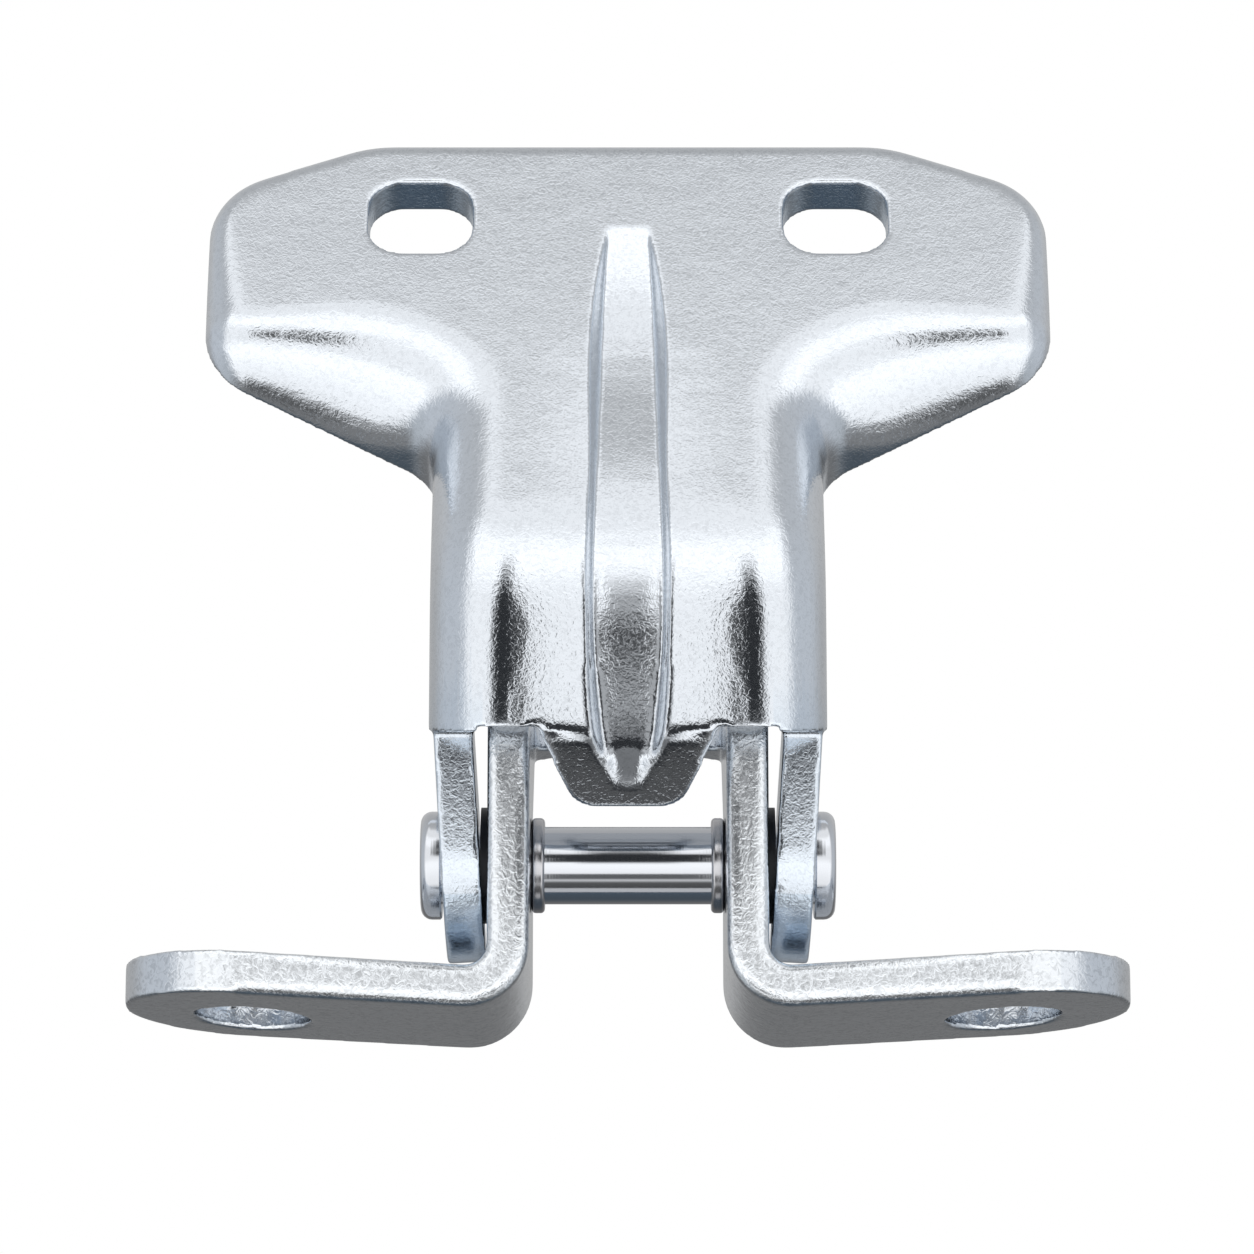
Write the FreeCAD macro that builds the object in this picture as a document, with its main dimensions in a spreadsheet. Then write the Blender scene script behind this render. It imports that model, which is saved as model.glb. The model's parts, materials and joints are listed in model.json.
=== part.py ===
import FreeCAD, Part
import math
import os
import Sketcher

Vector = FreeCAD.Vector
Rotation = FreeCAD.Rotation
Placement = FreeCAD.Placement

# A car door hinge, in millimetres. +X runs along the hinge pin, +Y goes back and +Z goes up from the
# face that the feet are bolted to. The origin is midway between the two foot holes, level with the
# feet's undersides at those holes. The hinge stands open: the door bracket's plate leans back, and
# closing swings it back and down over the feet.

SIZES = {
    # stance of the two brackets
    "open_angle": 63.3,
    "pin_height": 18.8,
    "pin_ahead": 3.5,
    # body bracket: a bent strap with two feet, two arms and a cross wall that ties the arms
    "body_sheet": 4.9,
    "arm_inside": 11.25,
    "foot_front": 12.4,
    "foot_depth": 27.6,
    "foot_rise_angle": 3.2,
    "foot_bend_inside": 2.5,
    "foot_hole_across": 13.5,
    "foot_hole_spacing": 87.2,
    "foot_end_past_hole": 14.6,
    "arm_rear": 9.5,
    "arm_top_radius": 18.6,
    "arm_waist": 6.0,
    "swing_gap": 1.7,
    "cross_wall_back": 24.0,
    "cross_wall_under": 17.9,
    "cross_wall_arch": 1.2,
    "cross_wall_bend_inside": 3.0,
    "cross_wall_notch_half": 9.6,
    "cross_wall_notch_gap": 1.0,
    "cross_wall_notch_corner": 2.4,
    # door bracket: one stamping with plate, rolled wings, channel, ears, groove and tongue
    "door_sheet": 5.0,
    "plate_standoff": 31.5,
    "web_standoff": 18.5,
    "web_bend_outside": 31.0,
    "web_underside": 11.5,
    "underside_rise_angle": 15.0,
    "arm_relief_rise": 0.6,
    "arm_relief_angle": 20.0,
    "arm_relief_gap": 1.2,
    "plate_top": 88.7,
    "top_half_width": 31.5,
    "wing_half_width": 50.5,
    "wing_shoulder": 80.6,
    "wing_tip_low": 53.4,
    "wing_root_low": 45.8,
    "channel_half_width": 23.0,
    "shoulder_radius": 10.0,
    "top_blend_radius": 15.0,
    "tip_radius": 6.5,
    "armpit_radius": 4.5,
    "channel_roll_radius": 9.4,
    "armpit_roll_radius": 12.5,
    "tip_roll_radius": 6.4,
    "rim_radius": 3.0,
    "channel_depth": 16.0,
    "wing_edge_depth": 5.0,
    "wing_edge_fade": 14.0,
    # ears of the door bracket
    "ear_radius": 11.3,
    "ear_sheet": 4.5,
    "ear_inside": 17.1,
    "ear_lean_angle": 3.5,
    "ear_front_root": 11.8,
    "lug_reach": 16.4,
    "lug_rise": 15.0,
    # slotted holes in the plate
    "slot_spacing": 50.0,
    "slot_height": 75.0,
    "slot_long": 12.5,
    "slot_wide": 12.0,
    "slot_corner": 4.2,
    # hump valley and centre groove
    "valley_depth": 1.2,
    "valley_top": 58.0,
    "groove_depth": 1.9,
    "groove_top": 74.4,
    "groove_scoop": 8.0,
    "groove_top_mouth": 3.5,
    "groove_top_floor": 2.8,
    "groove_plate_mouth": 4.6,
    "groove_plate_floor": 3.3,
    "groove_mid_mouth": 5.1,
    "groove_mid_floor": 4.1,
    "groove_web_mouth": 4.8,
    "groove_web_floor": 3.7,
    "groove_low_mouth": 3.2,
    "groove_low_floor": 1.9,
    "groove_back_spread": 0.55,
    "groove_fade": 0.8,
    # tongue under the channel
    "tongue_angle": 45.0,
    "tongue_drop": 0.55,
    "tongue_length": 9.15,
    "tongue_root_half": 10.0,
    "tongue_tip_half": 6.0,
    "tongue_sheet": 4.0,
    "tongue_corner": 3.4,
    # pin, bushes and collars
    "pin_across": 9.0,
    "head_across": 12.56,
    "head_thick": 2.45,
    "head_edge": 0.7,
    "bush_wall": 0.95,
    "bush_running_gap": 0.05,
    "bush_flange_across": 13.5,
    "side_gap": 0.05,
    "collar_across": 11.05,
    "collar_width": 1.55,
    "collar_edge": 0.5,
}


def start_document():
    """The document and its sheet of driving sizes."""
    doc = FreeCAD.newDocument("car_door_hinge")
    sheet = doc.addObject("Spreadsheet::Sheet", "sizes")
    for row, (name, value) in enumerate(SIZES.items(), 1):
        sheet.set(f"A{row}", name)
        sheet.set(f"B{row}", str(value))
        sheet.setAlias(f"B{row}", name)
    doc.recompute()
    return doc, sheet


doc, sheet = start_document()


def size(name):
    """A driving size, read back from the sheet."""
    return float(sheet.get(name))


def rounded_wire(points, radii):
    """A closed wire through points, with each corner rounded to its own radius."""
    corners = []
    count = len(points)
    for i, (point, radius) in enumerate(zip(points, radii)):
        here = Vector(*point)
        if radius <= 0:
            corners.append((here, None, here))
            continue
        before = (Vector(*points[i - 1]) - here).normalize()
        after = (Vector(*points[(i + 1) % count]) - here).normalize()
        half = before.getAngle(after) / 2
        run = radius / math.tan(half)
        middle = here + (before + after).normalize() * (radius / math.sin(half) - radius)
        corners.append((here + before * run, middle, here + after * run))
    edges = []
    for i, (first, middle, last) in enumerate(corners):
        if middle is not None:
            edges.append(Part.Arc(first, middle, last).toShape())
        following = corners[(i + 1) % count][0]
        if last.distanceToPoint(following) > 1e-6:
            edges.append(Part.LineSegment(last, following).toShape())
    return Part.Wire(edges)


def side_slab(points, radii, half_width):
    """A side outline in the YZ plane, made into a slab that spans both sides of the middle plane."""
    wire = rounded_wire([(0, y, z) for y, z in points], radii)
    slab = Part.Face(wire).extrude(Vector(2 * half_width, 0, 0))
    slab.translate(Vector(-half_width, 0, 0))
    return slab


def both_sides(shape):
    """The right-hand shape and its mirror image, as a list."""
    return [shape, shape.mirror(Vector(0, 0, 0), Vector(1, 0, 0))]


def x_cylinder(radius, start, end):
    """A cylinder about the pin's axis from start to end along X."""
    return Part.makeCylinder(radius, end - start, Vector(start, 0, 0), Vector(1, 0, 0))


# The brackets are shaped about the pin's axis, and moved up to its place as they are named.
def foot_bend_place():
    """How far the centre of each foot's bend is from the middle."""
    return size("arm_inside") + size("body_sheet") + size("foot_bend_inside")


def foot_line(x, off):
    """The height about the pin of a foot's line at x, set off downwards from the centre of its bend."""
    rise = math.radians(size("foot_rise_angle"))
    centre = size("foot_bend_inside") + size("body_sheet") - size("pin_height")
    return centre - off / math.cos(rise) + math.tan(rise) * (x - foot_bend_place())


def seat_height():
    """The height about the pin of the feet's undersides at the foot holes."""
    return foot_line(size("foot_hole_spacing") / 2, size("foot_bend_inside") + size("body_sheet"))


def foot_reach():
    """How far each foot's round end is from the middle."""
    return size("foot_hole_spacing") / 2 + size("foot_end_past_hole")


PIN_PLACE = Placement(Vector(0, -size("pin_ahead"), -seat_height()), Rotation())
ANGLE = math.radians(size("open_angle"))
ALONG_PLATE = Vector(0, math.cos(ANGLE), math.sin(ANGLE))
OUT_OF_PLATE = Vector(0, -math.sin(ANGLE), math.cos(ANGLE))
TURN_TO_PLATE = Rotation(Vector(1, 0, 0), size("open_angle"))
TINY = 0.01  # the length of straight left between the two corners of a round end
CLEAR = 6.0  # how far a cutting shape stands past what it cuts
LAP = 0.5  # how far one shape stands past another that it is joined to or trimmed with
GROOVE_LIFT = 0.4  # how far above the surface the groove's cutting shape leaves it at each end
TOP_CLOSE = 0.8  # the width of the groove's top end as a share of its width where the scoop begins
VALLEY_LIFT = 0.02  # the valley's cutting shape starts this much above the humps, to cross them cleanly
VALLEY_STEPS = 6  # how many sections carry the valley's fade up the plate


def on_plate(along, out):
    """(y, z) about the pin of a point given along the plate and out from it."""
    place = ALONG_PLATE * along + OUT_OF_PLATE * out
    return place.y, place.z


def turned_to_plate(shape):
    """A shape drawn flat, with the plate's normal as +Z, leaned back to the open stance."""
    shape.Placement = Placement(Vector(0, 0, 0), TURN_TO_PLATE).multiply(shape.Placement)
    return shape


def web_corner(inset):
    """Where the web's upright face meets the plate's leaning face, both set in by inset."""
    back = -(size("web_standoff") - inset)
    out = size("plate_standoff") - inset
    rise = (out + math.sin(ANGLE) * back) / math.cos(ANGLE)
    return back, rise


def door_side_form(inset):
    """Solid behind the bracket's front: upright web, bend and leaning plate, set in by inset."""
    back, rise = web_corner(inset)
    reach = 2 * size("plate_top")
    top = on_plate(reach, size("plate_standoff") - inset)
    points = [
        (back, -reach),
        (back, rise),
        top,
        (reach, reach),
        (reach, -reach),
    ]
    radii = [0, size("web_bend_outside") - inset, 0, 0, 0]
    return side_slab(points, radii, 2 * size("wing_half_width"))


def door_front_outline():
    """The T outline of the bracket, drawn flat, with the wing tips still square."""
    right = [
        (size("top_half_width"), size("plate_top")),
        (size("wing_half_width"), size("wing_shoulder")),
        (size("wing_half_width"), size("wing_tip_low")),
        (size("channel_half_width"), size("wing_root_low")),
        (size("channel_half_width"), -size("plate_top")),
    ]
    bends = [size("top_blend_radius"), size("shoulder_radius"), 0, size("armpit_radius"), 0]
    points = [(x, along, 0) for x, along in right]
    points += [(-x, along, 0) for x, along in reversed(right)]
    return rounded_wire(points, bends + bends[::-1])


def door_solid(inset):
    """The bracket's form as a full block, set in by inset, with its front rim rolled over."""
    outline = door_front_outline()
    if inset:
        outline = outline.makeOffset2D(-inset)
    reach = 2 * size("plate_top")
    prism = Part.Face(outline).extrude(Vector(0, 0, 2 * reach))
    prism.translate(Vector(0, 0, -reach))
    block = door_side_form(inset).common(turned_to_plate(prism)).Solids[0]
    return rolled(block, inset)


def rolled(block, inset):
    """Rounds the front rim: widely along the channel and under the wings, less around the plate."""
    tip = size("tip_radius") - inset
    low = size("wing_tip_low") + inset
    tip_below = (size("wing_tip_low") + size("wing_shoulder")) / 2
    side = size("wing_half_width") - inset
    foot = -size("plate_top") + inset + CLEAR
    front = [face for face in block.Faces if middle_normal(face).dot(OUT_OF_PLATE) > 0.5]
    rounds = []
    for number, edge in enumerate(block.Edges, 1):
        owners = sum(any(edge.isSame(other) for other in face.Edges) for face in front)
        middle = edge.CenterOfMass
        along = ALONG_PLATE.dot(middle)
        radii = [0]
        if owners == 1 and along > foot:
            ends = [edge.valueAt(edge.FirstParameter), edge.valueAt(edge.LastParameter)]
            law = under_radius if along < low else side_radius
            if inset and along < low:
                law = inner_radius
            radii = [law(end) - inset for end in ends]
        elif owners == 0 and abs(abs(middle.x) - side) < 1e-3 and along < tip_below:
            radii = [tip, tip]
        if min(radii) > 0:
            rounds.append((number, *radii))
    square = doc.addObject("Part::Feature", "door_square")
    square.Shape = block
    rounded = doc.addObject("Part::Fillet", "door_rounded")
    rounded.Base = square
    rounded.Edges = rounds
    doc.recompute()
    shape = rounded.Shape.copy()
    doc.removeObject(rounded.Name)
    doc.removeObject(square.Name)
    return shape


def between_values(low, high, share):
    """A value from low to high by a share that is held within nought and one."""
    return low + (high - low) * max(0.0, min(1.0, share))


def side_radius(point):
    """The front rim's radius round the plate: even along the top, growing down each straight side."""
    shoulder = size("wing_shoulder") - size("shoulder_radius")
    share = (shoulder - ALONG_PLATE.dot(point)) / (shoulder - size("wing_tip_low") - size("tip_radius"))
    return between_values(size("rim_radius"), size("tip_roll_radius"), share)


def under_radius(point):
    """The front rim's radius below the wings: widest at the armpits, less at each tip and along the
    channel."""
    past = abs(point.x) - size("channel_half_width")
    armpit = size("armpit_radius")
    if past < armpit:
        return between_values(size("channel_roll_radius"), size("armpit_roll_radius"), past / armpit)
    share = (past - armpit) / (size("wing_half_width") - size("channel_half_width") - armpit)
    return between_values(size("armpit_roll_radius"), size("tip_roll_radius"), share)


def inner_radius(point):
    """Inside the sheet the bend is even, so the sheet is a little thinner where it is drawn most."""
    return size("channel_roll_radius")


def middle_normal(face):
    """The outward normal at the middle of a face."""
    u_low, u_high, v_low, v_high = face.ParameterRange
    return face.normalAt((u_low + u_high) / 2, (v_low + v_high) / 2)


def front_place(run):
    """A point on the bracket's front and its outward normal. run is the length along the front from
    the middle of the bend: down the web below nought, up the plate above it."""
    turn = math.pi / 2 - ANGLE
    radius = size("web_bend_outside")
    half = radius * turn / 2
    on_bend = max(-half, min(half, run))
    lean = on_bend / radius + turn / 2
    outward = Vector(0, -math.cos(lean), math.sin(lean))
    upward = Vector(0, math.sin(lean), math.cos(lean))
    back, rise = web_corner(0)
    centre = Vector(0, back + radius, rise - radius * math.tan(turn / 2))
    return centre + outward * radius + upward * (run - on_bend), outward


def run_on_web(height):
    """The run along the front of a height on the upright web."""
    back, rise = web_corner(0)
    turn = math.pi / 2 - ANGLE
    radius = size("web_bend_outside")
    return height - rise + radius * math.tan(turn / 2) - radius * turn / 2


def run_on_plate(along):
    """The run along the front of a distance along the leaning plate."""
    turn = math.pi / 2 - ANGLE
    radius = size("web_bend_outside")
    back, rise = web_corner(0)
    corner = ALONG_PLATE.dot(Vector(0, back, rise))
    return along - corner - radius * math.tan(turn / 2) + radius * turn / 2


def groove_section(run, mouth, floor, depth, inset):
    """The groove's outline across the front at one place. inset grows it to the sheet's inner skin."""
    point, outward = front_place(run)
    spread = inset * size("groove_back_spread")
    return groove_polygon(point, outward, mouth + spread, floor + spread, depth + inset)


def groove_polygon(point, outward, mouth, floor, depth):
    """A slant-sided trapezoid that reaches depth below point and well clear above it."""
    slope = (mouth - floor) / max(depth, size("groove_depth"))
    mouth_out = mouth + slope * CLEAR
    corners = [(-mouth_out, CLEAR), (-floor, -depth), (floor, -depth), (mouth_out, CLEAR)]
    places = [point + Vector(x, 0, 0) + outward * out for x, out in corners]
    return Part.makePolygon(places + [places[0]])


def groove_tool(inset):
    """The pressed centre groove, scooped at its top, widest on the bend and narrow at the web's foot."""
    deep = size("groove_depth") + size("valley_depth")
    low = run_on_web(size("web_underside"))
    top = run_on_plate(size("groove_top"))
    scoop = top - size("groove_scoop")
    mouth = size("groove_top_mouth")
    floor = size("groove_top_floor")
    close = TOP_CLOSE
    stations = [
        (low - CLEAR, size("groove_low_mouth"), size("groove_low_floor"), deep),
        (low + CLEAR, size("groove_web_mouth"), size("groove_web_floor"), deep),
        (0, size("groove_mid_mouth"), size("groove_mid_floor"), deep),
        (scoop * 2 / 3, size("groove_plate_mouth"), size("groove_plate_floor"), deep),
        (scoop, mouth, floor, size("groove_depth")),
        (top + inset / 2, mouth * close, floor * close, -GROOVE_LIFT),
    ]
    sections = [groove_section(*place, inset) for place in stations]
    return Part.makeLoft(sections, True, False)


def hump_place():
    """How far each hump's crest is from the middle: where the channel's roll begins."""
    return size("channel_half_width") - size("channel_roll_radius")


def valley_section(run, depth, inset):
    """A smooth dip from hump to hump across the front, closed well clear of it."""
    point, outward = front_place(run)
    half = hump_place()
    level = point - outward * (inset - VALLEY_LIFT)
    sideways = Vector(1, 0, 0)
    marks = ((-half, 0), (-half / 2, 0.5), (0, 1), (half / 2, 0.5), (half, 0))
    dip = Part.BSplineCurve()
    dip.interpolate(
        Points=[level + sideways * x - outward * (depth + VALLEY_LIFT) * share for x, share in marks],
        InitialTangent=sideways,
        FinalTangent=sideways,
    )
    left, right = level - sideways * half, level + sideways * half
    over = outward * (CLEAR + inset)
    walls = Part.makePolygon([right, right + over, left + over, left])
    return Part.Wire([dip.toShape()] + walls.Edges)


def valley_tool(inset):
    """The hollow between the two humps of the channel, which fades out up the plate."""
    depth = size("valley_depth")
    low = run_on_web(size("web_underside")) - CLEAR
    fade = run_on_plate(size("valley_top"))
    places = [(low, depth), (low / 2, depth)]
    for step in range(VALLEY_STEPS + 1):
        share = step / VALLEY_STEPS
        places.append((fade * share, depth * (1 + math.cos(math.pi * share)) / 2))
    return Part.makeLoft([valley_section(run, deep, inset) for run, deep in places], True, False)


def under_height(back, lift=0.0):
    """The height of the channel's underside at a place along Y: it rises towards the back."""
    rise = math.tan(math.radians(size("underside_rise_angle")))
    return size("web_underside") + lift + rise * (back + size("web_standoff"))


def arm_reliefs():
    """Where the web's foot passes over each arm it is cut a little higher, and higher still inside."""
    gap = size("arm_relief_gap")
    start = size("arm_inside") - gap
    wide = size("body_sheet") + 2 * gap
    face = -size("web_standoff")
    height = size("web_underside") + size("arm_relief_rise")
    slope = math.tan(math.radians(size("arm_relief_angle")))
    points = [
        (face - CLEAR, height - CLEAR * slope),
        (face + 2 * CLEAR, height + 2 * CLEAR * slope),
        (face + 2 * CLEAR, 0),
        (face - CLEAR, 0),
    ]
    prism = Part.Face(Part.makePolygon([Vector(0, y, z) for y, z in points + points[:1]]))
    tool = prism.extrude(Vector(wide, 0, 0))
    tool.translate(Vector(start, 0, 0))
    return both_sides(tool)


def lug_back():
    """The slanted back of the lug, from the ear up to the channel's back edge."""
    back = size("plate_standoff") - size("channel_depth")
    low = on_plate(size("lug_reach"), -size("ear_radius"))
    high = on_plate(size("lug_reach") + size("lug_rise"), back)
    return low, high


def lug_crossing(lift):
    """Where the slanted back meets the channel's underside, or a line lifted above it."""
    low, high = lug_back()
    low_gap = low[1] - under_height(low[0], lift)
    high_gap = high[1] - under_height(high[0], lift)
    share = low_gap / (low_gap - high_gap)
    return tuple(a + (b - a) * share for a, b in zip(low, high))


def channel_keep():
    """The side walls of the channel, down to their rising underside and back to the lug's slant."""
    back = size("plate_standoff") - size("channel_depth")
    ahead = -3 * size("web_standoff")
    wall_top = on_plate(size("wing_root_low") + CLEAR, back)
    front = on_plate(size("wing_root_low") + CLEAR, 2 * size("plate_standoff"))
    points = [
        (ahead, under_height(ahead)),
        lug_crossing(0),
        lug_back()[1],
        wall_top,
        front,
        (ahead, front[1]),
    ]
    bend = size("channel_roll_radius")
    return side_slab(points, [0, 0, bend, 0, 0, 0], size("channel_half_width") + LAP)


def wing_keep():
    """The rolled edge under each wing, deep beside the channel and down to the sheet at the tip. Its
    depth at the tip runs out up the wing's side."""
    out = size("plate_standoff")
    thick = size("door_sheet")
    channel = size("channel_half_width") + LAP
    wing = size("wing_half_width")
    tip_out = out - size("wing_edge_depth")
    root_out = out - size("channel_depth")
    low = size("channel_half_width")
    start = size("wing_tip_low") + thick
    end = start + size("wing_edge_fade")
    points = [
        (0, 2 * out),
        (0, root_out),
        (channel, root_out),
        (wing, tip_out),
        (2 * wing, tip_out),
        (2 * wing, 2 * out),
    ]
    wire = rounded_wire([(x, 0, z) for x, z in points], [0] * len(points))
    prism = Part.Face(wire).extrude(Vector(0, end - low, 0))
    prism.translate(Vector(0, low, 0))
    tip_drop = (tip_out - root_out) / (wing - channel) * thick
    ramp = [(start, tip_out - tip_drop), (end, tip_out), (end + LAP, 0), (start, 0)]
    cut = Part.Face(Part.makePolygon([Vector(wing - thick, y, z) for y, z in ramp + ramp[:1]]))
    prism = prism.cut(cut.extrude(Vector(2 * wing, 0, 0)))
    return [turned_to_plate(shape) for shape in both_sides(prism)]


def groove_keep():
    """The back of the centre groove, which stands out behind the plate."""
    half = hump_place()
    low = size("channel_half_width")
    deep = size("plate_standoff") - size("channel_depth")
    box = Part.makeBox(2 * half, size("groove_top") + CLEAR - low, size("plate_standoff"))
    box.translate(Vector(-half, low, deep))
    return turned_to_plate(box)


def sheet_keep():
    """The plate itself: no deeper than its sheet."""
    reach = 2 * size("plate_top")
    back = size("plate_standoff") - size("door_sheet")
    box = Part.makeBox(2 * reach, reach, reach)
    box.translate(Vector(-reach, size("channel_half_width"), back))
    return turned_to_plate(box)


def ear():
    """The right ear: a round-ended plate that leans in from the channel's wall towards the pin. It is
    faced flat where the pin's head and the bush seat."""
    radius = size("ear_radius")
    inside = size("ear_inside")
    thick = size("ear_sheet")
    lap = size("door_sheet") / 2
    lug = lug_back()[0]
    tangent = on_plate(0, -radius)
    front_root = (-size("ear_front_root"), under_height(-size("ear_front_root"), lap))
    reach = math.hypot(*front_root)
    swing = math.atan2(front_root[1], front_root[0]) + math.acos(radius / reach)
    front = (radius * math.cos(swing), radius * math.sin(swing))
    middle_angle = (swing + math.atan2(tangent[1], tangent[0]) + 2 * math.pi) / 2
    bottom = (radius * math.cos(middle_angle), radius * math.sin(middle_angle))
    places = [Vector(0, *p) for p in (front, bottom, tangent, lug, lug_crossing(lap), front_root)]
    round_end = Part.Arc(*places[:3]).toShape()
    straights = Part.makePolygon(places[2:] + [places[0]])
    plate = Part.Face(Part.Wire(straights.Edges + [round_end])).extrude(Vector(thick, 0, 0))
    plate.translate(Vector(inside, 0, 0))
    plate.rotate(Vector(inside + thick / 2, 0, 0), Vector(0, 1, 0), size("ear_lean_angle"))
    seat_inside = x_cylinder(size("bush_flange_across") / 2 + LAP, inside - thick, inside)
    seat_outside = x_cylinder(size("head_across") / 2 + LAP, inside + thick, inside + 2 * thick)
    return plate.cut(seat_inside).cut(seat_outside)


def tongue_line(run):
    """A point on the tongue's face, run below its crease, and the face's outward normal."""
    lean = math.radians(size("tongue_angle"))
    back = size("valley_depth") - size("web_standoff")
    crease = Vector(0, back, size("web_underside") - size("tongue_drop"))
    downward = Vector(0, math.sin(lean), -math.cos(lean))
    outward = Vector(0, -math.cos(lean), -math.sin(lean))
    return crease + downward * run, outward


def tongue():
    """The nose under the web: it turns back and down at a crease, and tapers to a blunt tip."""
    thick = size("tongue_sheet")
    root = size("tongue_root_half")
    tip_half = size("tongue_tip_half")
    long = size("tongue_length")
    crease, outward = tongue_line(0)
    tip = tongue_line(long + CLEAR)[0]
    inner_rise = thick * math.tan(math.radians(size("tongue_angle")) / 2)
    outline = [
        (crease.y, crease.z + thick),
        (crease.y, crease.z),
        (tip.y, tip.z),
        (tip.y - outward.y * thick, tip.z - outward.z * thick),
        (crease.y + thick, crease.z + inner_rise),
        (crease.y + thick, crease.z + thick),
    ]
    bent = side_slab(outline, [0] * len(outline), root)
    corner = size("tongue_corner")
    left = [(-root, 2 * CLEAR), (-root, 0), (-tip_half, -long)]
    flat = left + [(-x, along) for x, along in reversed(left)]
    wire = rounded_wire([(x, along, 0) for x, along in flat], [0, 0, corner, corner, 0, 0])
    blank = Part.Face(wire).extrude(Vector(0, 0, 4 * thick))
    blank.translate(Vector(0, 0, -2 * thick))
    lean = Rotation(Vector(1, 0, 0), 90 + size("tongue_angle"))
    blank.Placement = Placement(crease, lean).multiply(blank.Placement)
    return bent.common(blank).cut([groove_tool(0), groove_runout()])


def groove_runout():
    """The end of the centre groove, which crosses the crease and fades out on the tongue."""
    sections = []
    above = Vector(0, 0, size("tongue_drop"))
    ahead = Vector(0, -1, 0)
    crease, outward = tongue_line(0)
    fade = tongue_line(size("tongue_length") * size("groove_fade"))[0]
    depth = size("groove_depth")
    mouth = size("groove_low_mouth")
    floor = size("groove_low_floor")
    stations = [
        (crease + above, ahead, mouth, floor, depth),
        (crease, (ahead + outward).normalize(), mouth, floor, depth),
        (fade, outward, floor, floor * floor / mouth, -GROOVE_LIFT / 2),
    ]
    for point, out, wide, narrow, deep in stations:
        sections.append(groove_polygon(point, out, wide, narrow, deep))
    return Part.makeLoft(sections, True, True)


def slot_tools():
    """The two square holes with rounded corners, punched square to the plate."""
    long = size("slot_long") / 2
    wide = size("slot_wide") / 2
    corners = [(-long, -wide, 0), (long, -wide, 0), (long, wide, 0), (-long, wide, 0)]
    punch = Part.Face(rounded_wire(corners, [size("slot_corner")] * 4))
    tool = punch.extrude(Vector(0, 0, 4 * size("door_sheet")))
    out = size("plate_standoff") - 2 * size("door_sheet")
    tool.translate(Vector(size("slot_spacing") / 2, size("slot_height"), out))
    return [turned_to_plate(shape) for shape in both_sides(tool)]


def door_bracket():
    """The stamping: front form less the same form one sheet further in, trimmed, with ears and tongue."""
    thick = size("door_sheet")
    outer = door_solid(0).cut(valley_tool(0)).cut(groove_tool(0))
    inner = door_solid(thick).cut(valley_tool(thick)).cut(groove_tool(thick))
    shell = outer.cut(inner)
    keep = [channel_keep(), groove_keep(), sheet_keep()] + wing_keep()
    whole = keep[0].fuse(keep[1:])
    shell = shell.common(whole).cut(arm_reliefs())
    shape = shell.fuse([tongue()] + both_sides(ear()))
    hole = x_cylinder(size("pin_across") / 2, -size("wing_half_width"), size("wing_half_width"))
    return shape.cut([hole] + slot_tools()).removeSplitter().Solids[0]


def foot_strap():
    """The right foot with its bend and the lower arm, as a bent strap still square at its ends."""
    thick = size("body_sheet")
    arm = size("arm_inside")
    inner_bend = size("foot_bend_inside")
    outer_bend = inner_bend + thick
    far = foot_reach() + thick
    points = [
        (arm, 0),
        (arm, foot_line(arm, outer_bend)),
        (far, foot_line(far, outer_bend)),
        (far, foot_line(far, inner_bend)),
        (arm + thick, foot_line(arm + thick, inner_bend)),
        (arm + thick, 0),
    ]
    wire = rounded_wire([(x, 0, z) for x, z in points], [0, outer_bend, 0, 0, inner_bend, 0])
    strap = Part.Face(wire).extrude(Vector(0, size("foot_depth"), 0))
    strap.translate(Vector(0, -size("foot_front"), 0))
    return strap


def foot_plan():
    """The foot's outline from above: straight sides and a round outer end."""
    half = size("foot_depth") / 2
    middle = half - size("foot_front")
    reach = foot_reach()
    points = [(0, middle - half), (reach, middle - half), (reach, middle + half), (0, middle + half)]
    wire = rounded_wire([(x, y, 0) for x, y in points], [0, half - TINY, half - TINY, 0])
    prism = Part.Face(wire).extrude(Vector(0, 0, 2 * size("pin_height")))
    prism.translate(Vector(0, 0, -1.5 * size("pin_height")))
    return prism


def arms_and_wall():
    """The two arms and the wall behind them, bent from one sheet as a U seen from above."""
    thick = size("body_sheet")
    arm = size("arm_inside")
    bend = size("cross_wall_bend_inside")
    front = -size("foot_front")
    back = size("cross_wall_back")
    height = size("pin_height") + 2 * size("arm_top_radius")

    def u_prism(half, rear, radius):
        points = [(-half, front, 0), (half, front, 0), (half, rear, 0), (-half, rear, 0)]
        prism = Part.Face(rounded_wire(points, [0, 0, radius, radius])).extrude(Vector(0, 0, height))
        prism.translate(Vector(0, 0, -size("arm_waist")))
        return prism

    return u_prism(arm + thick, back, bend + thick).cut(u_prism(arm, back - thick, bend))


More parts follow.
